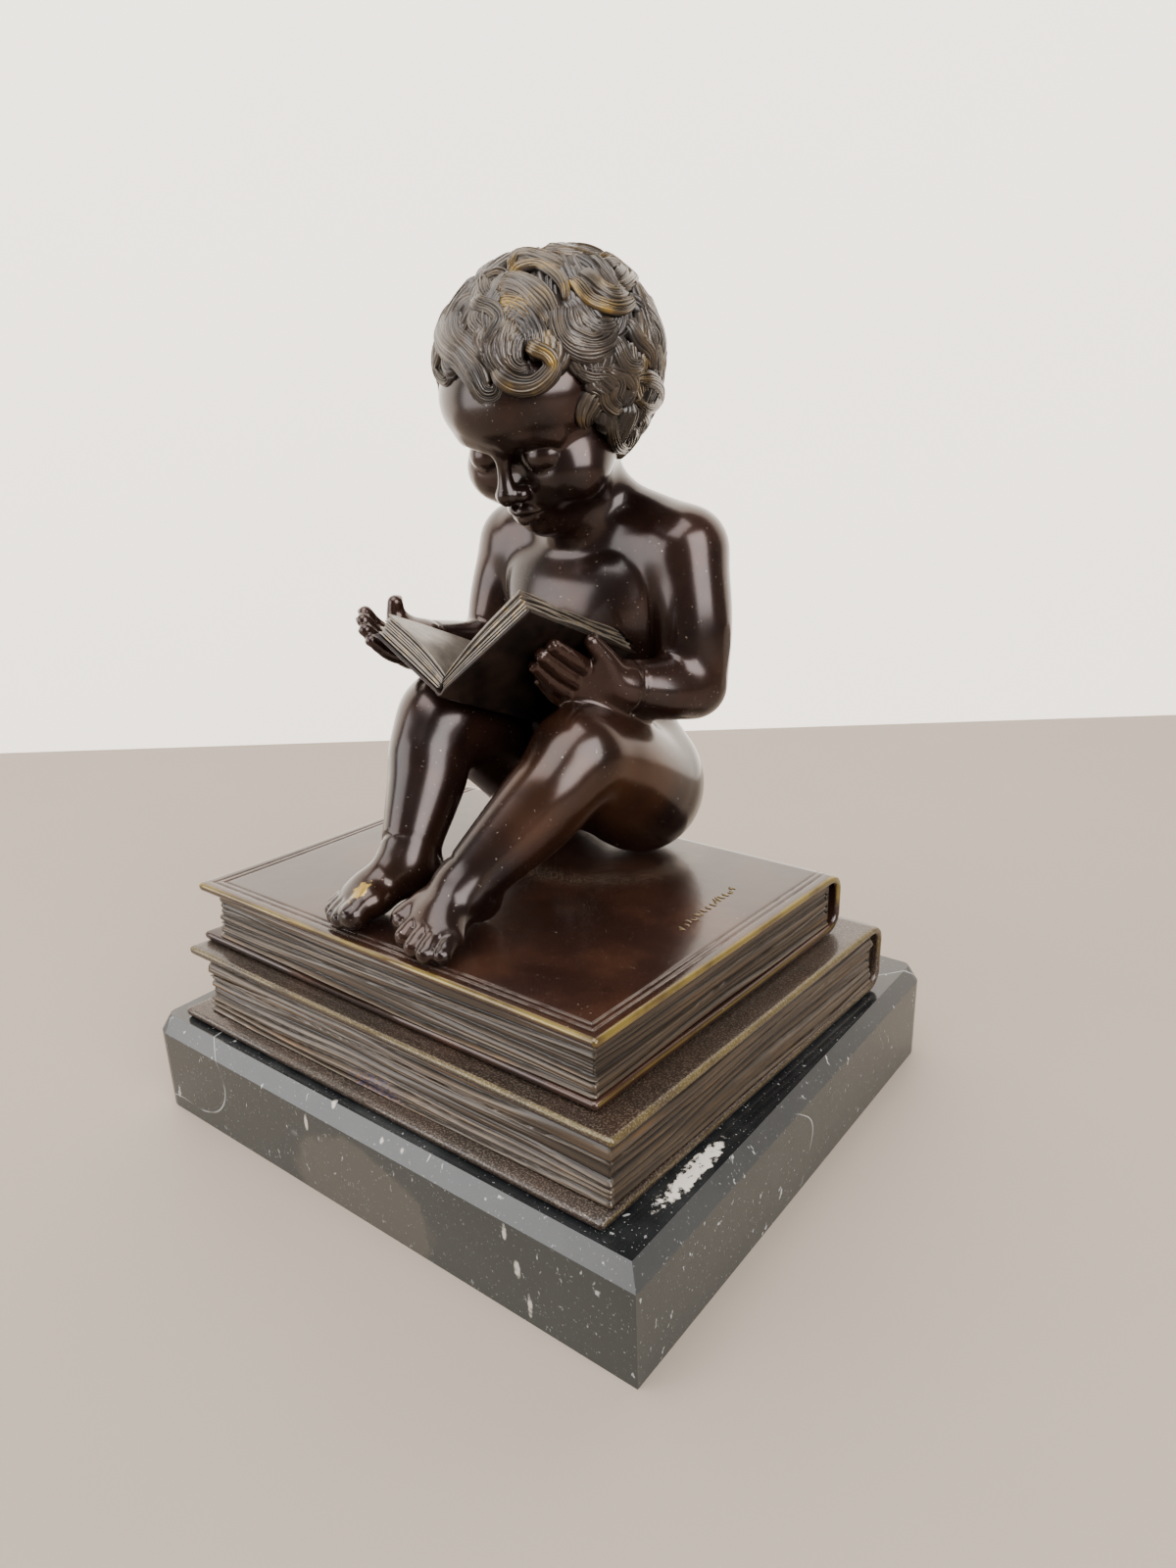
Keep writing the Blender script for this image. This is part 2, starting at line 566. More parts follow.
def sculptFace(clay):
    def work(shape, blend, pressed):
        clay.add(shape, blend) if pressed is None else clay.press(shape, pressed, blend)

    def spot(centre, radii, blend, pressed=None):
        work(headBall(centre, radii), blend, pressed)

    def line(points, radii, blend, pressed=None):
        work(tube([headAt(*point) for point in points], share * np.array(radii)), blend, pressed)

    spot((0, 12, 4), (22.5, 18.6, 15.5), 4)                  # forehead
    spot((0, 19.5, -27.5), (7.5, 6.5, 6.2), 4)               # chin
    for side in (-1, 1):
        spot((side * 10.5, 16.2, -15), (11, 10.5, 9.8), 4)   # cheek
        spot((side * 23.4, -3.5, -6.5), (2.4, 4, 5.6), 1.5)  # ear, under the curls
        spot((side * 9.2, 28.0, -6.2), (3.2, 1.2, 2.0), 5.0, pressed=0.7)     # eye socket
        line([(side * 4, 26.4, -2.6), (side * 9.5, 25.6, -1.4), (side * 15, 21.8, -3.4)],
             (1.6, 1.9, 1.4), 3.0)                           # brow
    line([(0, 26.4, -4.5), (0, 28.2, -9.5), (0, 30.0, -14.0)], (1.6, 1.8, 2.4), 3.0)     # nose
    spot((0, 30.3, -14.8), (3.0, 2.9, 2.7), 1.5)
    for side in (-1, 1):
        eye = np.array((side * 9.2, 21.8, -8.2))
        spot(eye, (5.2, 4.4, 4.2), 0.6)
        for radii, offset, half, blend in (                  # the upper lid, lowered, and the lower one
                ((5.6, 4.8, 4.6), -7.4, 6.0, 0.5), ((5.5, 4.75, 4.6), 5.3, 7.6, 0.6)):
            opening = block(headAt(*(eye + (0, 4, offset))), headAxes, np.array((9, 9, half)) * share)
            clay.add(without(headBall(eye, radii), opening), blend)
        line([(side * 4.4, 25.9, -4.6), (side * 9.4, 27.3, -3.3), (side * 14.6, 23.9, -5.2)],
             (0.3, 0.35, 0.3), 0.9, pressed=0.55)            # fold over the lid
        spot((side * 3.1, 28.5, -15.6), (2.2, 2.4, 2.0), 1.0)                 # wing of the nose
        clay.add(ball(headAt(side * 1.7, 30.0, -17.5), 0.85 * share), 0.6, -1)      # nostril
        line([(side * 4.5, 27.0, -21.3), (side * 2.6, 28.1, -20.6), (side * 0.8, 28.8, -20.4)],
             (0.9, 1.4, 1.5), 1.0)                           # upper lip
    line([(-3.0, 27.2, -23.3), (0, 27.9, -23.7), (3.0, 27.2, -23.3)], (1.2, 1.8, 1.2), 1.0)   # lower lip
    parting = ((-5.6, 26.4, -21.9), (-2.6, 28.9, -21.8), (0, 29.8, -22.1), (2.6, 28.9, -21.8), (5.6, 26.4, -21.9))
    clay.add(tube([headAt(*point) for point in parting], [0.3, 0.4, 0.45, 0.4, 0.3]), 0.5, -1)
    line([(0, 29.4, -17.8), (0, 28.9, -19.6)], (0.5, 0.6), 1.3, pressed=0.5)  # groove over the lip
    line([(-3.2, 27.0, -26.0), (0, 27.8, -26.2), (3.2, 27.0, -26.0)], (0.5, 0.6, 0.5), 2.0, pressed=0.6)


def carveBody(clay):                     # folds and hollows of a plump small child
    for centre, along, radius, depth in child["folds"]:
        clay.press(ring(at(*centre), along, radius * share, 0.15), depth, 1.1)
    for points, radii, depth, soft in (
            *((((side * 4, 16.5, 92.5), (side * 13, 18, 94), (side * 24, 22, 95)), (1.2, 1.5, 1.2), -0.35, 5.0)
              for side in (-1, 1)),      # collarbones
            *((((side * 15, 46.5, 84), (side * 13, 48, 74)), (3, 3), -0.9, 6.0) for side in (-1, 1)),
            (((0, 50, 90), (0, 50, 60), (0, 50, 34)), (1.5, 1.5, 1.5), 1.2, 5.0),      # spine
            (((-15, 12, 57), (0, 8.5, 54.5), (15, 12, 57)), (0.5, 0.6, 0.5), 0.9, 3.0)):
        clay.press(tube([at(*point) for point in points], radii), depth, soft)
    clay.press(ball(at(0, 5.6, 44), 1.4 * share), 1.6, 2.2)  # navel


def buildChild(bronze):
    lowest, highest = childLow - child["margin"], childHigh + child["margin"]
    seam, lean = at(*child["neckSeam"]), unit((0, -0.5, 0.86))

    body = Clay(lowest, (highest[0], highest[1], at(0, 0, 110)[2]), child["bodyVoxel"] * share)
    sculptBody(body)
    for hand in child["hands"]:
        sculptPalm(body, hand)
    for foot in child["feet"]:
        sculptSole(body, foot)
    body.soften(child["softness"])
    for hand in child["hands"]:
        sculptFingers(body, hand)
    for foot in child["feet"]:
        sculptToes(body, foot)
    carveBody(body)
    for centre, axes, half in heldBlocks(child["clearance"]):    # room for the open book, and a level seat
        body.add(block(centre, axes, half), sign=-1)
    body.add(block((0, 0, seat - 10), np.eye(3), (200, 200, 10.02)), sign=-1)
    made = cast("child_body", body, child["bodyTriangles"], (seam, lean, (at(-40, 0, 82), at(40, 60, 120))))
    settle(made, "seated_child", bronze)

    head = Clay((lowest[0], headAt(0, 38, 0)[1], at(0, 0, 82)[2]), highest, child["headVoxel"] * share)
    sculptBody(head)
    head.soften(child["softness"])
    carveBody(head)
    sculptFace(head)
    made = cast("child_head", head, child["headTriangles"], (seam, -lean, (childLow - 99, childHigh + 99)))
    settle(made, "seated_child", bronze)


# The hair: broad locks swept over the scalp, each with its strands running along it

hair = {
    "centre": (0.0, -1.5, 2.0), "radii": (27.8, 30.3, 27.0),   # the scalp under the locks, in the head's axes
    "reach": 28.0,                       # its mean radius, which turns lengths of hair into angles
    "groove": 0.55, "strandSamples": 5, "underside": 5, "step": 0.8, "finer": 1.35, "sparser": 0.66,
    "bands": (                           # under layer: degrees down from the crown, number, heading, length, width
        (6, 8, 25, 24, 10), (28, 14, -20, 24, 10), (48, 18, 20, 22, 10), (67, 20, -15, 20, 9.5),
        (86, 20, 15, 18, 9), (102, 20, -15, 15, 8), (116, 18, 10, 11, 7)),
    "traced": (                          # width, lift, strands, gold, then (turn, rise) degrees along it
        (3.6, 2.6, 4, 0.9, ((26, 76), (62, 77), (86, 71), (84, 61), (79, 53), (72, 48))),
        (9.5, 1.6, 9, 0.25, ((3, 72), (39, 70), (55, 59), (56, 48), (52, 39))),
        (6.0, 1.9, 6, 0.8, ((20, 64), (35, 61), (44, 55), (46, 46))),
        (5.0, 1.4, 5, 0.1, ((28, 60), (36, 53), (36, 46), (32, 42))),
        (4.0, 1.6, 4, 0.1, ((42, 51), (43, 45), (40, 41), (35, 40))),
        (9.5, 2.2, 10, 0.1, ((74, 48), (64, 40), (62, 33), (68, 26), (77, 24), (86, 25))),
        (7.0, 2.0, 7, 0.05, ((81, 44), (76, 39), (76, 32), (82, 28), (91, 27))),
        (4.6, 2.9, 5, 0.8, ((91, 60), (87, 50), (84, 42), (88, 36), (96, 30), (109, 27), (112, 30))),
        (6.0, 2.2, 6, 0.3, ((106, 57), (101, 48), (98, 41), (103, 34), (116, 31))),
        (5.0, 2.2, 5, 0.4, ((132, 47), (143, 39), (137, 34), (137, 28), (115, 34), (111, 41))),
        (4.0, 2.4, 5, 0.1, ((117, 46), (132, 40), (134, 35), (121, 37), (116, 41))),
        (5.5, 2.2, 6, 0.2, ((135, 76), (126, 66), (127, 57), (129, 50), (125, 44))),
        (6.5, 2.0, 6, 0.5, ((21, 88), (147, 82), (108, 72), (100, 63), (101, 55))),
        (6.0, 1.8, 6, 0.4, ((143, 61), (151, 51), (150, 43), (144, 39), (139, 34))),
        (6.0, 2.0, 6, 0.1, ((136, 30), (120, 24), (112, 15), (108, 6), (104, -4))),
        (5.5, 2.0, 6, 0.1, ((98, 28), (97, 22), (97, 13), (102, 4), (101, -5))),
        (5.0, 2.2, 5, 0.15, ((84, 24), (81, 15), (82, 8), (89, 4), (94, 7))),
        (5.0, 1.8, 5, 0.1, ((56, 22), (62, 15), (70, 11), (74, 4), (70, -1), (74, -8))),
        (4.2, 1.6, 5, 0.1, ((58, 13), (64, 6), (64, -1), (69, -8), (74, -8))),
        (4.5, 2.0, 4, 0.1, ((69, 16), (74, 10), (80, 4), (82, -3), (77, -5))),
        (4.5, 2.4, 5, 0.2, ((80, 2), (92, -3), (105, -15), (111, -25), (93, -20), (83, -10))),
        (4.5, 1.8, 5, 0.1, ((64, -2), (66, -10), (65, -19), (70, -33), (85, -43), (85, -33), (76, -18))),
        (4.5, 1.8, 5, 0.3, ((69, -45), (79, -46), (85, -42), (92, -39), (96, -35))),
        (4.2, 1.8, 5, 0.1, ((86, -16), (97, -31), (95, -40), (92, -43))),
        (4.6, 2.4, 5, 0.15, ((-33, 71), (-4, 64), (17, 59), (24, 53), (18, 47), (14, 41), (17, 33), (23, 27))),
        (6.5, 1.9, 7, 0.1, ((33, 55), (26, 47), (22, 41), (22, 34), (27, 29))),
        (5.5, 2.0, 6, 0.1, ((38, 47), (30, 41), (28, 34), (31, 30), (35, 30))),
        (5.2, 2.4, 6, 0.35, ((16, 39), (18, 31), (25, 24), (34, 21), (43, 23), (47, 27), (45, 33), (40, 34),
         (38, 31))),
        (4.2, 2.9, 4, 1.0, ((37, 39), (41, 35), (46, 31), (47, 26), (44, 22))),
        (8.5, 1.8, 8, 0.1, ((-71, 69), (-67, 57), (-56, 48), (-28, 44), (-8, 40), (3, 32), (8, 23), (15, 22),
         (18, 28))),
        (7.0, 1.8, 7, 0.05, ((-23, 74), (-31, 64), (-29, 54), (-16, 47), (-2, 42), (9, 35), (12, 29))),
        (6.0, 2.0, 6, 0.05, ((14, 51), (9, 46), (12, 40), (13, 34))),
        (5.0, 1.8, 5, 0.05, ((2, 63), (-1, 56), (7, 50), (11, 45))),
        (5.0, 1.6, 5, 0.2, ((-68, 68), (-62, 63), (-54, 54), (-53, 44), (-31, 39), (-35, 31), (-23, 28),
         (-17, 33))),
        (6.0, 1.4, 6, 0.1, ((-121, 83), (-102, 75), (-44, 76), (-28, 68))),
        (5.0, 2.0, 5, 0.1, ((49, 80), (0, 81), (-24, 77), (5, 69), (20, 65))),
    ),
}


def ease(t):                             # 0 to 1 with a soft start and end
    t = np.clip(t, 0, 1)
    return t * t * (3 - 2 * t)


def unitRows(rows):
    return rows / np.linalg.norm(rows, axis=1)[:, None]


def scalp(directions, lift):             # points over the scalp, seen from the head's centre along directions
    centre, radii = (np.array(hair[key]) for key in ("centre", "radii"))
    d, c = directions / radii, centre / radii
    a, b = (d * d).sum(-1), (d * c).sum(-1)
    reach = (b + np.sqrt(np.maximum(b * b - a * ((c * c).sum(-1) - 1), 0))) / a + lift
    return at(*child["headCentre"]) + share * (directions * reach[:, None]) @ headAxes


def aim(turn, rise):                     # degrees from the face towards the child's left, and up from the level
    turn, rise = np.radians(turn), np.radians(rise)
    return np.stack((np.cos(rise) * np.sin(turn), np.cos(rise) * np.cos(turn), np.sin(rise)), -1)


def crownAim(turn, down):                # degrees round the crown from the front, and down from it
    slant = child["crown"]
    side, fore, rise = aim(turn, 90 - down)
    return np.array((side, fore * math.cos(slant) - rise * math.sin(slant),
                     fore * math.sin(slant) + rise * math.cos(slant)))


def wander(turn, down, heading, length, bend, curl, steps=10):
    # a path over the scalp; heading 0 runs down from the crown, bend and curl are degrees along the length
    here = crownAim(turn, down)
    south = crownAim(turn, down + 1) - here
    south = unit(south - here * (south @ here))
    angle = math.radians(heading)
    tangent = south * math.cos(angle) + np.cross(here, south) * math.sin(angle)
    path = [here]
    for step in range(steps):
        s = (step + 0.5) / steps
        turnBy = math.radians(bend * math.cos(math.pi * s) * 2 + curl * 3.0 * s * s) / steps
        tangent = tangent * math.cos(turnBy) + np.cross(here, tangent) * math.sin(turnBy)
        here = unit(here + tangent * length / hair["reach"] / steps)
        tangent = unit(tangent - here * (tangent @ here))
        path.append(here)
    return np.array(path)


def growLock(path, width, lift, strands, dice):
    line = unitRows(smoothLine(path, 12))
    run = np.concatenate(([0], np.cumsum(np.linalg.norm(np.diff(line, axis=0), axis=1)))) * hair["reach"]
    s = np.linspace(0, 1, max(12, int(run[-1] / hair["step"])))
    line = unitRows(np.stack([np.interp(s * run[-1], run, line[:, axis]) for axis in range(3)], 1))
    grow = ease(s / 0.22)                # how full the lock is, after its root and before its tip
    shrink = np.clip((1 - s) / 0.38, 0, 1)
    shrink = np.sqrt(shrink * (2 - shrink))
    wide = 0.5 * width * (0.45 + 0.55 * grow) * (0.12 + 0.88 * shrink)
    high = (0.2 * width + 1.0) * (0.4 + 0.6 * grow) * (0.25 + 0.75 * shrink)
    centre = scalp(line, -0.9 + lift * grow * (0.45 + 0.55 * shrink) - 0.3 * high)
    along = unitRows(np.gradient(centre, axis=0))
    across = unitRows(np.cross(line @ headAxes, along))
    out = np.cross(along, across)
    strands = max(3, round(strands * hair["finer"]))
    topSamples = strands * hair["strandSamples"] + 1
    u = np.concatenate((np.linspace(-1, 1, topSamples), np.linspace(1, -1, hair["underside"] + 2)[1:-1]))
    top = np.arange(len(u)) < topSamples
    phase = [dice.uniform(0, 6.3) for _ in range(4)]
    bounds = np.cumsum([0] + [dice.uniform(0.55, 1.6) for _ in range(strands)])
    deep = np.array([dice.uniform(0.35, 1.25) for _ in range(strands + 2)])
    crest = np.array([dice.uniform(-0.5, 0.6) for _ in range(strands + 2)])
    s, shrink, wide, high = (value[:, None] for value in (s, shrink, wide, high))     # rows run along, u across
    drift = 0.07 * np.sin(5.1 * s + phase[0]) * (1 - u * u) + 0.022 * np.sin(13 * s + 4 * u + phase[1])
    place = np.interp(np.clip(u * 0.5 + 0.5 + drift, 0, 1), bounds / bounds[-1], np.arange(strands + 1))
    ridge = np.abs(np.sin(np.pi * place)) ** 0.75
    number = np.clip(np.floor(place), 0, strands).astype(int)
    edge = np.round(place).astype(int)   # the groove that lies nearest
    tall = crest[number] * (0.7 + 0.5 * np.sin(6 * s + phase[2] + 2.2 * number))
    dome = np.sqrt(np.maximum(1 - np.abs(u) ** 2.6, 0))
    rise = dome * high * share
    relief = (hair["groove"] * deep[edge] * (ridge - 1) + 0.45 * tall * ridge) * (
        np.clip(shrink * 1.6, 0.15, 1) * dome ** 0.5)
    y = np.where(top, rise + relief * share * min(1.2, 1.6 * width / strands), -0.5 * rise - 0.3)
    x = wide * u * share
    points = centre[:, None] + across[:, None] * x[..., None] + out[:, None] * y[..., None]
    shine = np.where(top, np.clip(1 - deep[edge] * (1 - ridge), 0, 1) * (0.25 + 0.75 * dome)
                     * (0.75 + 0.5 * np.clip(tall, -0.5, 0.5)), 0.0)
    return points, shine


def buildLocks(name, locks, bronze, seed):
    dice = random.Random(seed)
    points, faces, shines, golds = [], [], [], []
    count = 0
    for width, lift, strands, gold, path in locks:
        rings, shine = growLock(path, width, lift, strands, dice)
        faces.extend(sweepFaces(*shine.shape, count))
        points.append(rings.reshape(-1, 3))
        shines.append(shine.ravel())
        golds.append(np.full(shine.size, gold))
        count += shine.size
    made = meshFrom(name, np.vstack(points), faces)
    mask(made, "strand", np.concatenate(shines))
    mask(made, "gold", np.concatenate(golds))
    settle(made, "seated_child", bronze)


def hairline(turn):                      # how far down from the crown the hair reaches
    turn = abs((turn + 180) % 360 - 180)
    return 80 + 52 * ease((turn - 45) / 40)


def buildHair(bronze):
    dice = random.Random(11)
    under = []
    for down, count, heading, length, width in hair["bands"]:
        for index in range(count):
            turn = (index + dice.uniform(-0.2, 0.2)) * 360 / count + 7 * down
            if down + 12 > hairline(turn):
                continue
            sign = 1 if index % 2 else -1
            look = (width * dice.uniform(0.8, 1.15), dice.uniform(0.5, 1.4), int(width * hair["sparser"]),
                    dice.choice((0.0, 0.0, 0.3)))
            path = wander(turn, down, heading * sign + dice.uniform(-12, 12),
                          min(length, (hairline(turn) - down + 4) * 0.5),
                          sign * dice.uniform(30, 70), -sign * dice.uniform(20, 90))
            under.append((*look, path))
    buildLocks("child_hair", under, bronze, 5)
    over = [(*look, aim(*np.array(path, float).T)) for *look, path in hair["traced"]]
    buildLocks("child_hair_curls", over, bronze, 9)


# The open book in the child's hands

held = {
    "spineEnd": (0.0, -35.5, 58.8), "tilt": math.radians(23), "length": 47.0, "thickness": 7.4,
    "right": (33.0, math.radians(45)), "left": (29.8, math.radians(25)), "gutter": (0.6, 5.8), "gutterOut": 2.0,
    "board": 1.3, "bundles": 9, "bulge": 1.2, "spine": (2.5, 8, 15, 22), "rows": 24, "columns": 13,
}


def heldFrame():
    tilt = held["tilt"]
    across, along, up = (1.0, 0, 0), (0, math.cos(tilt), -math.sin(tilt)), (0, math.sin(tilt), math.cos(tilt))
    return at(*held["spineEnd"]), np.array((across, along, up))


def heldPlace(section, y):               # a section of the book, at y along its spine
    corner, (across, along, up) = heldFrame()
    return corner + along * y + across * section[:, :1] + up * section[:, 1:]


def heldHalves():                        # for each half: its width, its run from the spine and its rise
    for name, side in (("right", 1), ("left", -1)):
        width, opening = held[name]
        cosine, sine = math.cos(opening), math.sin(opening)
        yield width, np.array((side * cosine, sine)), np.array((-side * sine, cosine))


def heldBlocks(gap):                     # the two halves as boxes, for clearing the hands
    corner, (across, along, up) = heldFrame()
    for width, run, rise in heldHalves():
        axes = np.array((across * run[0] + up * run[1], along, across * rise[0] + up * rise[1]))
        half = np.array((width, held["length"], held["thickness"])) / 2
        yield corner + half @ axes, axes, half + gap


def leafLine(run, rise, level, out):     # a leaf at this level above the board, from the gutter to its edge
    u = np.linspace(0, 1, held["columns"])[:, None]
    part = (level - held["board"]) / (held["thickness"] - held["board"])
    start = (1 - part) * (run * held["gutterOut"] + rise * held["board"]) + part * np.array(held["gutter"])
    swell = held["bulge"] * part * np.sin(np.pi * np.minimum(u * 1.05, 1)) * (1 - 0.4 * u)
    return start + (run * out + rise * level - start) * u + rise * swell


def buildHeldLeaves(metal):
    wobble = random.Random(5)
    rows, columns, bundles, length = (held[key] for key in ("rows", "columns", "bundles", "length"))
    points, edges = [], []
    for width, run, rise in heldHalves():
        for bundle in range(bundles):
            low, high = (held["board"] + (held["thickness"] - held["board"]) * step / bundles
                         for step in (bundle, bundle + 1))
            inset = 0.5 + wobble.uniform(-0.35, 0.45)
            ends = [wobble.uniform(0.1, 0.9) for _ in range(2)]
            phase = [wobble.uniform(0, 6) for _ in range(3)]
            for row, v in enumerate(np.linspace(0, 1, rows)):
                y = ends[0] + (length - ends[0] - ends[1]) * v
                out = width - inset + 0.25 * math.sin(7 * v + phase[0]) + 0.12 * math.sin(19 * v + phase[1])
                top, bottom = (leafLine(run, rise, level, out) for level in (high, low))
                section = np.vstack((bottom, (top[-1] + bottom[-1]) / 2 + run * 0.22, top[::-1]))
                atEnd = row in (0, rows - 1)
                if atEnd:                # the ends of a bundle are rounded
                    section = 0.775 * section + 0.225 * section[::-1]
                    y += 0.22 if row else -0.22
                points.append(heldPlace(section, y))
                light = np.full(len(section), 0.85 if atEnd else 0.25)
                if bundle == bundles - 1:
                    light[columns + 1:] = 0.62
                light[columns] = 1.0
                edges.append(light)
    around = 2 * columns + 1
    faces = [face for bundle in range(2 * bundles) for face in sweepFaces(rows, around, bundle * rows * around)]
    made = meshFrom("open_book_leaves", np.vstack(points), faces)
    made.data.set_sharp_from_angle(angle=math.radians(50))
    mask(made, "edge", np.concatenate(edges))
    settle(made, "open_book", metal)


def buildHeldCover(metal):               # two boards and the spine in one bent sheet with rounded edges
    (rightWidth, rightRun, rightRise), (leftWidth, leftRun, leftRise) = heldHalves()
    spine, board, length = held["spine"], held["board"], held["length"]
    outer = np.array((leftRun * leftWidth, *(leftRun * out for out in spine[::-1]), (-0.9, 0.15), (0, -0.1),
                      (0.9, 0.15), *(rightRun * out for out in spine), rightRun * rightWidth))
    rises = np.array((*[leftRise] * 5, unit(leftRise + (0, 1)), (0, 1), unit(rightRise + (0, 1)), *[rightRise] * 5))
    rightEdge, leftEdge = (run * (width + 0.3) + rise * board / 2 for width, run, rise in heldHalves())
    sections = []
    for y in (0.0, 0.15, 0.6, *range(6, 37, 6), length - 5, length - 0.6, length - 0.15, length):
        shrink = 0.35 * max(0, 1 - min(y, length - y) / 0.5)
        upper = (outer + rises * (board - shrink))[::-1]
        sections.append(heldPlace(np.vstack((outer + rises * shrink, rightEdge, upper, leftEdge)), y))
    made = meshFrom("open_book_cover", np.vstack(sections), sweepFaces(len(sections), len(sections[0])))
    made.data.set_sharp_from_angle(angle=math.radians(40))
    settle(made, "open_book", metal)


# The two closed books

books = {
    "lower": {"thickness": 21.3, "width": 150.7, "depth": 126.5, "centre": (3.0, -5.6), "foot": 4.0, "ridges": 9,
              "border": 0.0, "seed": 3},
    "upper": {"thickness": 18.2, "width": 142.4, "depth": 109.5, "centre": (-1.0, -8.4), "foot": 0.5, "ridges": 7,
              "border": 1.0, "seed": 8},
    "lean": 0.05, "board": 2.8, "spineRadius": 6.0, "spineWall": 2.2, "spineHollow": 3.0, "flare": 2.0,
    "insetLeft": 5.6, "insetRight": 1.0, "insetFront": 0.9, "edge": 1.1, "rimWidth": 1.5, "dip": 0.25,
    "borders": (3.1, 5.0), "borderWidth": 0.34, "borderDepth": 0.34,
    "meshStep": 5.0, "fineReach": 0.7, "fineStep": 0.16, "leafRows": 96, "leafStep": 0.9, "leafCorner": 0.7,
    "leafWaves": ((0.03, 150), (0.016, 70), (0.005, 31), (0.0015, 13)),      # height and length
    "strokes": ((56.0, -10.5), (54.6, 19.0), 3.4, 15),    # a line of marks: its ends, their height and number
    "strokeLift": 0.08, "strokeWear": 0.55,
    "strokeWidths": ((0, 0.07), (0.12, 0.2), (0.5, 0.24), (0.88, 0.2), (1, 0.07)),     # along a stroke
}


def arc(turns):                          # cosines and sines of angles in degrees
    turns = np.radians(turns)
    return np.cos(turns), np.sin(turns)


def rowsOf(*values):                    # rows of these values, where one number stands for a whole column
    return np.stack(np.broadcast_arrays(*values), 1)


def bookPlace(book, x, y, z):            # from a closed book's own plan to the part's place
    (centreX, centreY), width, depth = (book[key] for key in ("centre", "width", "depth"))
    return rowsOf(centreX - width / 2 + x + books["lean"] * (y - depth / 2), centreY - depth / 2 + y, z)


def spread(low, high, size):
    # places from low to high: coarse steps, and fine ones round each border line on the way to size
    reach, fine = books["fineReach"], books["fineStep"]
    places = [*np.arange(low, high, books["meshStep"]), high]
    for line in books["borders"]:
        for spot in (line, size - line):
            places += list(np.arange(spot - reach, spot + reach + fine / 2, fine))
    places = sorted(place for place in places if low <= place <= high)
    kept = [places[0]]
    for place in places[1:]:
        if place - kept[-1] > fine * 0.6:
            kept.append(place)
    kept[-1] = high
    return np.array(kept)


def coverSection(book):
    # (y from the fore-edge, z, outward y, outward z) round the boards and the back
    depth, thickness, foot = (book[key] for key in ("depth", "thickness", "foot"))
    board, edge, radius = books["board"], books["edge"], books["spineRadius"]
    middle = depth - radius              # where the back begins to turn

    def lip(y, z):                       # the rounded fore-edge of a board
        c, s = arc(np.linspace(75, -75, 7))
        return rowsOf(y + edge * (1 - c), z + board / 2 * s, -c, s)

    def bend(radius, inset, count, side):        # round the back, outside the boards or inside them
        c, s = arc(np.linspace(-90 * side, 90 * side, count))
        z = np.where(s < 0, inset + radius * (1 + s), thickness - inset - radius * (1 - s))
        return rowsOf(middle + radius * c, z, side * c, side * s)

    return np.vstack((
        lip(-foot, board / 2), rowsOf(np.arange(-foot + edge, middle, 8.0), 0.0, 0.0, -1.0), bend(radius, 0, 13, 1),
        rowsOf(spread(edge, middle, depth)[::-1], thickness, 0.0, 1.0), lip(0, thickness - board / 2),
        rowsOf(np.arange(edge, middle, 10.0), thickness - board, 0.0, -1.0),
        bend(radius - books["spineWall"], board, 9, -1),
        rowsOf(np.arange(middle - 4, -foot + edge, -10.0), board, 0.0, 1.0)))


def buildCover(name, book, base, metal):
    width, depth, thickness, foot = (book[key] for key in ("width", "depth", "thickness", "foot"))
    board, edge = books["board"], books["edge"]
    section = coverSection(book)
    y, z, ny, nz = section.T
    onTop = (np.abs(z - thickness) < 1e-6) & (nz > 0.9)
    c, s = arc((12, 30, 50, 70))         # the rounded ends of the boards
    ends = list(zip(edge * (1 - c), edge * (1 - s)))
    rows = [*ends, *((x, 0.0) for x in spread(edge, width - edge, width)),
            *((width - x, shrink) for x, shrink in ends[::-1])]
    points, grooves, rims = [], [], []
    for x, shrink in rows:
        fromEnd = min(x, width - x)
        inset = np.minimum(np.minimum(y, depth - y), fromEnd)
        groove = sum(np.exp(-((inset - line) / books["borderWidth"]) ** 2) for line in books["borders"])
        groove = np.where(onTop, np.minimum(groove, 1), 0) * book["border"]
        wave = (0.15 * np.sin(x / 17 + 1.3) * np.clip(1 - y / 6, 0, 1)
                + 0.15 * np.sin(y / 13) * np.clip(1 - fromEnd / 6, 0, 1))
        lift = np.where(nz > 0.5, wave - books["dip"], 0) - books["borderDepth"] * groove
        py = y - ny * shrink
        corner = np.clip(1 - x / (0.1 * width), 0, 1) * np.clip(1 - y / (0.3 * depth), 0, 1)
        points.append(bookPlace(book, x - books["flare"] * corner ** 2, py, base + z - nz * shrink + lift))
        outer = np.minimum(fromEnd, np.abs(y + foot * (z < board + 0.1)))
        rim = np.clip(1 - outer / books["rimWidth"], 0, 1) * np.clip(nz + 0.3 + (shrink > 0), 0, 1)
        lowRim = 0.5 * np.clip(1 - outer / 0.8, 0, 1) * (np.abs(z - board) < 0.8)
        rims.append(np.maximum(rim * (z > thickness / 2), lowRim))
        grooves.append(groove)
    made = meshFrom(name + "_book_cover", np.vstack(points), sweepFaces(len(rows), len(section)))
    mask(made, "groove", np.concatenate(grooves))
    mask(made, "rim", np.concatenate(rims))
    made.data.set_sharp_from_angle(angle=math.radians(45))
    settle(made, "stacked_books", metal)


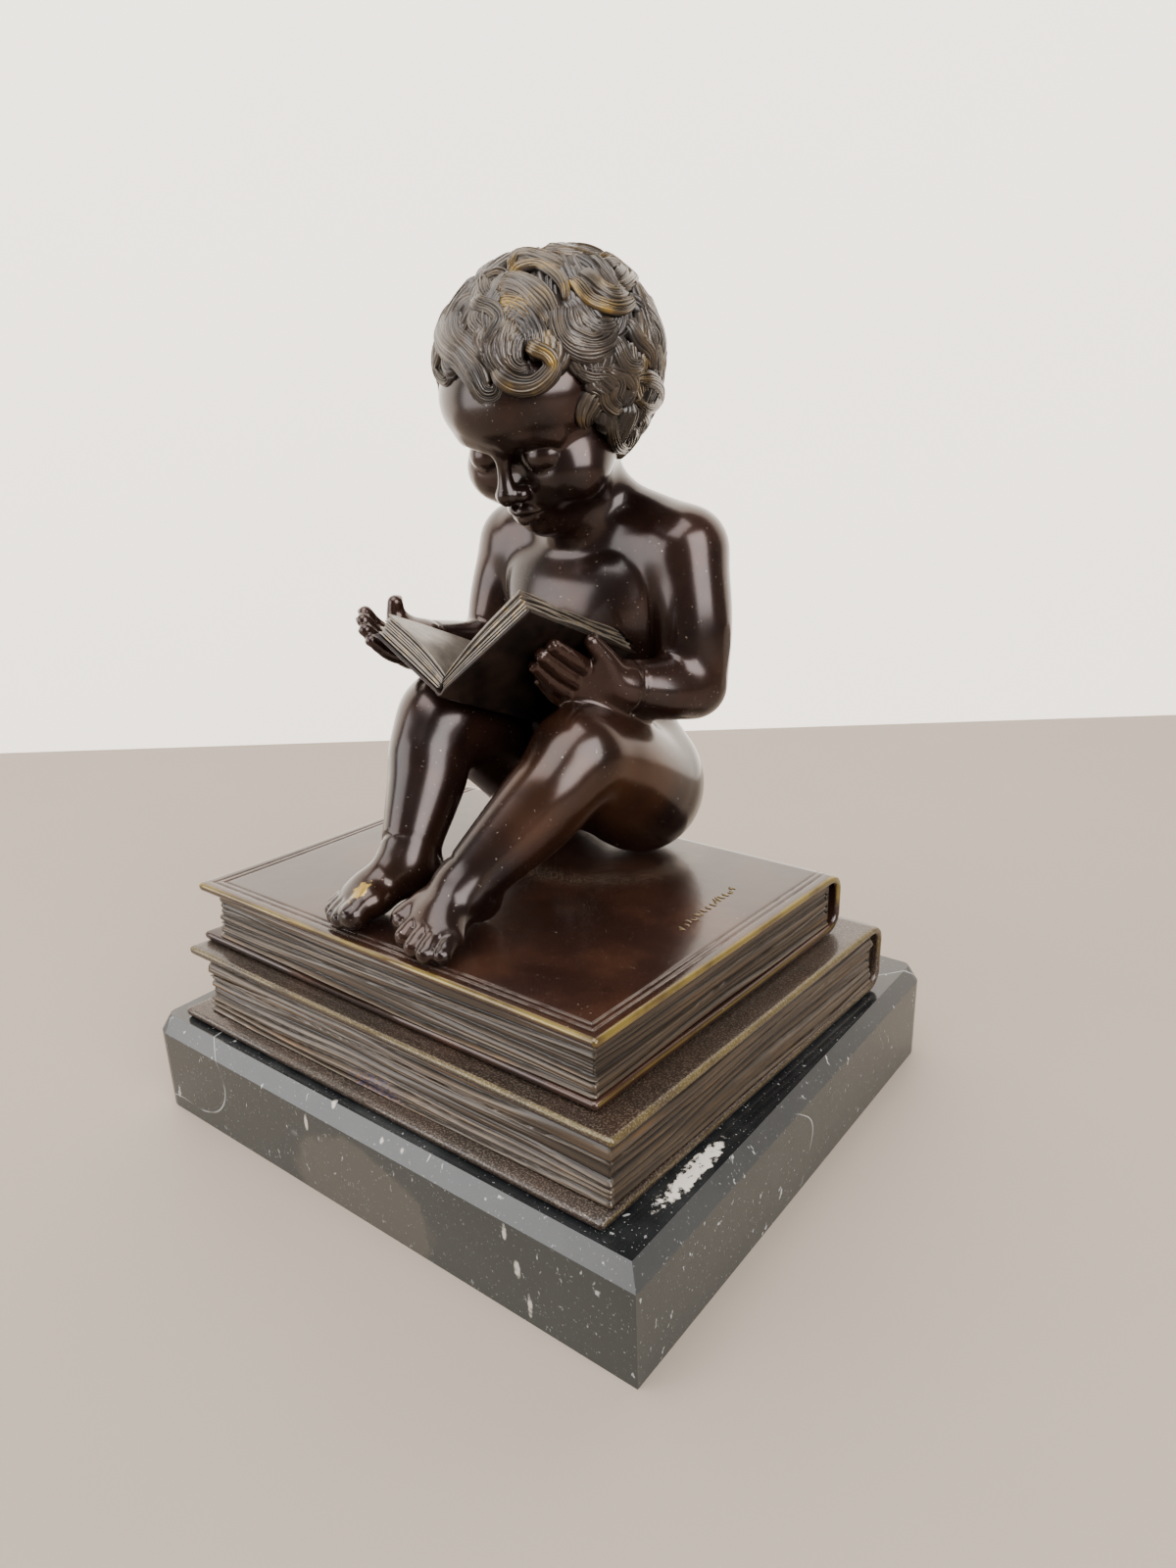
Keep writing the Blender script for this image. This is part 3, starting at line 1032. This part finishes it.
def leafPath(book):                      # round the block of leaves: (x, y, outward x, outward y)
    left, right, front = books["insetLeft"], book["width"] - books["insetRight"], books["insetFront"]
    back = book["depth"] - books["spineWall"] - books["spineHollow"]
    radius = books["leafCorner"]
    turns = ((left + radius, back - radius, 90), (left + radius, front + radius, 180),
             (right - radius, front + radius, 270), (right - radius, back - radius, 0))
    path = []
    for (x, y, start), (nextX, nextY, _) in zip(turns, turns[1:] + turns[:1]):
        c, s = arc(np.linspace(start, start + 90, 5))
        path += zip(x + radius * c, y + radius * s, c, s)
        here, out = np.array(path[-1][:2]), np.array(path[-1][2:])
        there = np.array((nextX, nextY)) + radius * out
        cells = max(2, int(np.linalg.norm(there - here) / (books["leafStep"] if start else 8.0)))
        path += [(*(here + (there - here) * k / cells), *out) for k in range(1, cells)]
    return np.array(path)


def buildLeaves(name, book, base, metal):
    x, y, nx, ny = leafPath(book).T
    run = np.concatenate(([0], np.cumsum(np.hypot(np.diff(x), np.diff(y)))))
    low, high = books["board"] - 0.3, book["thickness"] - books["board"] + 0.3
    wobble = random.Random(book["seed"])
    count = book["ridges"]

    def draws(least, most):              # a number for each ridge
        return np.array([wobble.uniform(least, most) for _ in range(count)])

    bounds = np.cumsum(draws(0.45, 1.7))
    bounds = np.concatenate(([0], bounds / bounds[-1]))
    waves = []
    for k in range(count + 1):
        wave = sum(height * np.sin(2 * np.pi * run / length + wobble.uniform(0, 6))
                   for height, length in books["leafWaves"])
        waves.append(bounds[k] + wave * (0 < k < count))
    waves = np.maximum.accumulate(np.array(waves), axis=0)
    heights = np.array([0.75 + 0.35 * np.sin(run / wobble.uniform(12, 40) + wobble.uniform(0, 6))
                        + 0.08 * np.sin(run / 9 + wobble.uniform(0, 6)) + wobble.uniform(-0.35, 0.45)
                        for _ in range(count)])
    lean, sharp = draws(0.35, 0.65), draws(1.4, 3.2)
    lines = np.array([wobble.choice((2, 3, 4)) for _ in range(count)])
    points, crests = [], []
    here = np.arange(len(run))
    atLeft, atFront = np.clip(-nx, 0, 1), np.clip(-ny, 0, 1)
    for value in np.linspace(0, 1, books["leafRows"]):
        which = np.clip((waves <= value).sum(0) - 1, 0, count - 1)
        floor, ceiling, tall = waves[which, here], waves[which + 1, here], heights[which, here]
        w = np.clip((value - floor) / np.maximum(ceiling - floor, 1e-3), 0, 1)
        skew = np.where(w < lean[which], w / lean[which] - 1, (w - lean[which]) / (1 - lean[which]))
        crest = 1 - np.abs(skew) ** sharp[which]
        scratch = np.abs(np.sin(np.pi * lines[which] * w + 0.6 * np.sin(run / 37 + which)))
        fine = -0.22 * (1 - scratch) ** 3 * (0.6 + 0.4 * np.sin(run / 17 + 2 * which)) * crest
        cove = -(2.8 * atLeft + 0.35) * np.sin(np.pi * value)
        out = (1.15 * crest * tall - 0.95 + fine) * (1 - 0.6 * atLeft) + cove + 0.8 * (1 - value) * atFront
        out = np.where(ny > 0.9, 0, out)
        points.append(bookPlace(book, x + nx * out, y + ny * out, base + low + (high - low) * value))
        crests.append(np.clip(crest * (0.6 + 0.5 * tall) * (0.75 + 0.25 * scratch), 0, 1.2))
    made = meshFrom(name + "_book_leaves", np.vstack(points), sweepFaces(books["leafRows"], len(run)))
    mask(made, "crest", np.concatenate(crests))
    settle(made, "stacked_books", metal)


def buildStrokes(base, metal):           # marks scratched in the upper cover, none of them a letter
    start, end, tall, count = books["strokes"]
    step = np.subtract(end, start) / count
    up = np.array((-1.0, 0.05)) * tall
    wobble = random.Random(4)
    c, s = arc(np.arange(0, 360, 60))
    points = []
    for index in range(count):
        foot = start + step * (index + 0.5)
        for _ in range(2):
            a = foot + step * wobble.uniform(-0.3, 0.3) + up * wobble.uniform(0, 0.35)
            b = a + up * wobble.uniform(0.35, 0.65) + step * wobble.uniform(-0.45, 0.45)
            along = unit(b - a)
            for t, wide in books["strokeWidths"]:
                x, y = a + (b - a) * t
                points += zip(x - along[1] * wide * c, y + along[0] * wide * c, base + 0.8 * wide * s)
    faces = [face for stroke in range(2 * count) for face in sweepFaces(5, 6, 30 * stroke)]
    made = meshFrom("cover_strokes", points, faces)
    mask(made, "rim", np.full(len(points), books["strokeWear"]))
    settle(made, "stacked_books", metal)


def buildBooks(coverMetals, leafMetal):
    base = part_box("stacked_books")[0][2] / mm
    for name, metal in coverMetals.items():
        book = books[name]
        buildCover(name, book, base, metal)
        buildLeaves(name, book, base, leafMetal)
        base += book["thickness"]
    buildStrokes(base - books["dip"] + books["strokeLift"], coverMetals["upper"])


# Finishes

def figureBronze():
    paint = Paint("figure bronze", metallic=0.6, coat=0.4, coatRoughness=0.2, specular=0.25)
    warm = paint.noise(40.0, 2).band(0.45, 0.68) * (paint.near(at(18, -8, 30), 45 * share) * 0.8 + 0.1)
    foot = paint.near(at(-14, -55, 9), 7 * share, (1.6, 1, 1)) + paint.near(at(-18, -43, 15), 3.5 * share)
    gold = (foot * 0.8 + paint.noise(1.5, 4)).band(0.86, 1.0)
    speck = paint.noise(0.8, 2).band(0.7, 0.75)
    colour = paint.layers(
        (0.0095, 0.0044, 0.0034), ((0.029, 0.012, 0.0078), paint.noise(24.0, 4).band(0.35, 0.7)),
        ((0.085, 0.031, 0.009), warm * 0.8), ((0.3, 0.19, 0.03), gold * 0.85), ((0.3, 0.25, 0.2), speck * 0.6))
    paint.bump(paint.noise(0.5, 3) * 0.3 + paint.noise(4.0, 3) - speck * 0.5, 0.05, 0.35)
    return paint.shade(colour=colour, roughness=paint.noise(9.0, 3) * 0.18 + 0.15)


def hairBronze():
    paint = Paint("hair bronze", metallic=0.6, coat=0.3, coatRoughness=0.16, specular=0.3)
    strand, gilt = paint.attribute("strand"), paint.attribute("gold")
    polish = paint.near(headAt(23, -1, -12), 21 * share).band(0.05, 0.6)
    rubbed = paint.noise(6.0, 3).band(0.45, 0.62) * 0.7 + 0.3
    colour = paint.layers(
        (0.008, 0.006, 0.005), ((0.042, 0.034, 0.031), strand.band(0.15, 1.0)),
        ((0.05, 0.038, 0.032), paint.noise(11.0, 3).band(0.4, 0.65) * 0.5), ((0.008, 0.0065, 0.006), polish * 0.75),
        ((0.2, 0.12, 0.022), (gilt * 0.95 + 0.05).limit() * rubbed * strand.band(0.25, 0.7)))
    paint.bump(paint.noise(0.45, 4), 0.12, 0.6)
    return paint.shade(colour=colour, roughness=paint.noise(1.5, 3) * 0.25 + 0.22 - polish * 0.12)


def coverBronze(grain):                  # grain is how rough the metal between the covers is
    paint = Paint("cover bronze", metallic=0.4, coat=0.36, coatRoughness=0.12, specular=0.35)
    rim, groove = paint.attribute("rim"), paint.attribute("groove")
    edge = paint.near(at(0, 25, 0), 52 * share, (1, 1.15, 0.1))
    seatRing = edge.band(0.12, 0.3) * edge.band(0.55, 0.35)
    dust = paint.noise(0.45, 2).band(0.5, 0.62)
    worn = paint.noise(16.0, 4).band(0.25, 0.6) * 0.8 + 0.2
    colour = paint.layers(
        (0.020, 0.0085, 0.006), ((0.046, 0.019, 0.011), paint.noise(25.0, 4).band(0.4, 0.7)),
        ((0.11, 0.09, 0.075), groove * paint.noise(5.0, 3).band(0.3, 0.6) * 0.7),
        ((0.2, 0.16, 0.11), dust * seatRing * 0.5), ((0.15, 0.105, 0.022), rim.band(0.15, 0.75) * worn))
    if grain:
        colour = paint.layers(colour, (paint.layers((0.012, 0.010, 0.008), ((0.13, 0.105, 0.075), dust)), grain))
    colour = paint.layers(colour, ((0.3, 0.25, 0.2), paint.noise(0.7, 2).band(0.71, 0.75) * 0.5))
    paint.bump(paint.noise(0.6, 3) * (seatRing * 1.5 + grain * 2 + 0.2) + paint.noise(6.0, 3), 0.12, 0.4)
    return paint.shade(colour=colour, roughness=paint.noise(7.0, 3) * 0.14 + 0.16 + grain * 0.3)


def leafBronze():
    paint = Paint("leaf bronze", metallic=0.55, coat=0.2, coatRoughness=0.25)
    crest = paint.attribute("crest")
    orange = paint.noise(30.0, 3, stretch=(1, 1, 9)).band(0.56, 0.68)
    stain = (paint.near((0, -70, 34), 20, (1, 1, 3.2)) * paint.noise(2.2, 3)).band(0.2, 0.4)
    spots = paint.noise(1.4, 2)
    stained = paint.layers((0.03, 0.022, 0.045), ((0.13, 0.065, 0.035), spots.band(0.5, 0.62)))
    colour = paint.layers(
        (0.010, 0.0075, 0.006), ((0.062, 0.043, 0.027), crest.band(0.1, 0.95)),
        ((0.030, 0.022, 0.017), paint.noise(18.0, 3, stretch=(1, 1, 5)).band(0.45, 0.62) * 0.5),
        ((0.13, 0.068, 0.024), orange * crest.band(0.6, 1.0) * 0.6), (stained, stain * 0.7))
    grit = paint.noise(0.6, 3) * 0.25
    paint.bump(paint.noise(1.4, 3, stretch=(0.06, 0.06, 1.6)) + grit + stain * spots * 3, 0.2, 0.5)
    return paint.shade(colour=colour, roughness=paint.noise(1.6, 3, stretch=(0.1, 0.1, 1)) * 0.3 + 0.2)


def heldLeafBronze():
    paint = Paint("held leaf bronze", metallic=0.5, coat=0.15, coatRoughness=0.3)
    edge = paint.attribute("edge")
    clean = paint.layers((0.075, 0.062, 0.05), ((0.15, 0.124, 0.098), paint.noise(4.0, 4).band(0.3, 0.7)))
    rubbed = paint.noise(2.2, 3).band(0.5, 0.65)
    colour = paint.layers((0.016, 0.013, 0.011), (clean, edge.band(0.0, 0.7)),
                          ((0.34, 0.22, 0.075), edge.band(0.75, 1.0) * rubbed * 0.8))
    paint.bump(paint.noise(0.8, 4), 0.1, 0.5)
    return paint.shade(colour=colour, roughness=paint.noise(1.6, 3) * 0.3 + 0.24)


def heldCoverBronze():
    paint = Paint("held cover bronze", metallic=0.5, specular=0.3)
    colour = paint.layers((0.006, 0.004, 0.0035), ((0.022, 0.0125, 0.009), paint.noise(9.0, 4).band(0.35, 0.7)))
    paint.bump(paint.noise(0.9, 3), 0.06, 0.4)
    return paint.shade(colour=colour, roughness=paint.noise(2.0, 3) * 0.2 + 0.26)


stone = {
    "patch": ((2, -78, 8), 40, (1, 1, 1.7)), "corner": ((80, -45, 30), 32, (6.0, 1.0, 3.0)),
    "streaks": (                         # place, reach, thinness
        ((-17.8, -78, 21.5), 5.0, 3.5), ((-8.6, -75, 29.5), 2.6, 1.5), ((10.4, -77, 28), 2.2, 1.5),
        ((17.5, -77, 28), 2.2, 1.5), ((51.4, -78, 22.5), 5.0, 3.5), ((54.6, -78, 13.5), 5.5, 3.0),
        ((57.8, -78, 5), 6.0, 4.0)),
}


def blackMarble():
    paint = Paint("black marble", coat=0.12, coatRoughness=0.05, specular=0.4)
    normal = paint.node("ShaderNodeNewGeometry")["Normal"]
    level = paint.node("ShaderNodeSeparateXYZ", {}, {0: normal})["Z"]
    bevel = level.band(0.3, 0.5) * level.band(0.95, 0.85)
    side = level.band(0.4, 0.2)
    patch = (paint.near(*stone["patch"]) + paint.noise(12.0, 3) * 0.5).band(0.5, 0.62) * side
    fleck = (paint.noise(2.2, 3, stretch=(1, 1, 0.5), distortion=0.4).band(0.67, 0.73)
             + paint.noise(0.7, 2).band(0.66, 0.74) * 0.5)
    thread = (paint.noise(130.0, 2) - 0.5).math("ABSOLUTE").band(0.0012, 0.0003)
    chalk = paint.noise(1.8, 4)
    vein = (paint.near(*stone["corner"]) * (chalk * 1.3 - 0.1)).band(0.3, 0.42)
    for place, reach, thin in stone["streaks"]:
        vein = vein + (paint.near(place, reach, (thin, 1, 1)) * chalk).band(0.2, 0.42) * 0.7
    colour = paint.layers(
        (0.006, 0.0065, 0.007), ((0.02, 0.021, 0.021), paint.noise(30.0, 5).band(0.4, 0.7)),
        ((0.021, 0.024, 0.0225), side * 0.8), ((0.032, 0.032, 0.031), bevel * 0.8),
        ((0.052, 0.047, 0.038), patch * 0.8), ((0.42, 0.42, 0.4), fleck.limit() * 0.6),
        ((0.35, 0.35, 0.33), thread * paint.noise(20.0, 2).band(0.42, 0.55) * 0.7),
        ((0.52, 0.47, 0.41), vein.limit()))
    chips = paint.noise(1.1, 2).band(0.7, 0.74) * 0.2
    paint.bump(paint.noise(0.6, 2) * bevel + chips, 0.06, 0.5)
    return paint.shade(colour=colour, roughness=paint.noise(5.0, 3) * 0.1 + 0.07 + bevel * 0.22 + side * 0.12)


# The table, the light and the camera

camera = {
    "place": (0.1856, -0.2142, 0.1936), "forward": (-0.581, 0.744, -0.329), "right": (0.794, 0.607, -0.031),
    "lens": 24.3,
}
stage = {
    "near": 1.6, "far": 0.37, "wide": 3.2, "tall": 1.0,   # the table ends this far behind the statue, at a wall
    "floor": ((0.26, 0.213, 0.170), (0.272, 0.224, 0.18)), "wall": ((0.7, 0.66, 0.61), (0.74, 0.70, 0.65)),
    "room": (1.0, 0.965, 0.93), "roomStrength": 0.24, "glow": (1.0, 0.88, 0.74), "wallGlow": 1.45,
    "lamps": (("window", (0.85, -0.3, 0.6), 0.8, 24.0), ("skylight", (-0.1, -0.45, 1.2), 1.0, 24.0),
              ("doorway", (-0.7, -0.95, 0.35), 0.8, 13.0)),
    "lampTarget": (0, 0, 0.1),
}


def buildSheet(name, corners, paint, scale):     # one flat face of the room, in two mottled colours
    first, second = stage[name]
    paint.shade(colour=paint.layers(first, (second, paint.noise(scale, 2))))
    made = meshFrom(name, [corner / mm for corner in corners], [(0, 1, 2, 3)], smooth=False)
    made.data.materials.append(paint.material)


def buildStage():
    ahead = Vector(camera["forward"]).to_2d().normalized().to_3d()
    side = Vector((ahead.y, -ahead.x, 0)) * stage["wide"] / 2
    front, back, up = -ahead * stage["near"], ahead * stage["far"], Vector((0, 0, stage["tall"]))
    buildSheet("floor", (front - side, front + side, back + side, back - side), Paint("table", roughness=0.6), 60.0)
    plaster = Paint("wall", roughness=0.8, glow=stage["glow"], glowStrength=stage["wallGlow"])
    buildSheet("wall", (back - side, back + side, back + side + up, back - side + up), plaster, 90.0)
    world = bpy.data.worlds.new("room")
    world.use_nodes = True
    background = world.node_tree.nodes["Background"].inputs
    background["Color"].default_value = (*stage["room"], 1.0)
    background["Strength"].default_value = stage["roomStrength"]
    bpy.context.scene.world = world
    for name, place, size, power in stage["lamps"]:
        light = bpy.data.lights.new(name, "AREA")
        light.energy, light.size = power, size
        lamp = bpy.data.objects.new(name, light)
        lamp.location = place
        lamp.rotation_euler = (Vector(stage["lampTarget"]) - lamp.location).to_track_quat("-Z", "Y").to_euler()
        bpy.context.scene.collection.objects.link(lamp)
    print("stage and", len(stage["lamps"]), "lamps")


def buildCamera():
    lens = bpy.data.cameras.new("camera")
    lens.lens, lens.sensor_width, lens.clip_start = camera["lens"], 36.0, 0.01
    made = bpy.data.objects.new("camera", lens)
    made.location = camera["place"]
    forward, right = Vector(camera["forward"]).normalized(), Vector(camera["right"])
    right = (right - forward * right.dot(forward)).normalized()
    made.rotation_euler = Matrix((right, right.cross(forward), -forward)).transposed().to_euler()
    bpy.context.scene.collection.objects.link(made)
    bpy.context.scene.camera = made


buildCamera()
buildStage()
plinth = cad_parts["marble_plinth"]
plinth.data.materials.clear()
plinth.data.materials.append(blackMarble())
buildBooks({"lower": coverBronze(0.55), "upper": coverBronze(0.0)}, leafBronze())
buildHeldLeaves(heldLeafBronze())
buildHeldCover(heldCoverBronze())
buildChild(figureBronze())
buildHair(hairBronze())
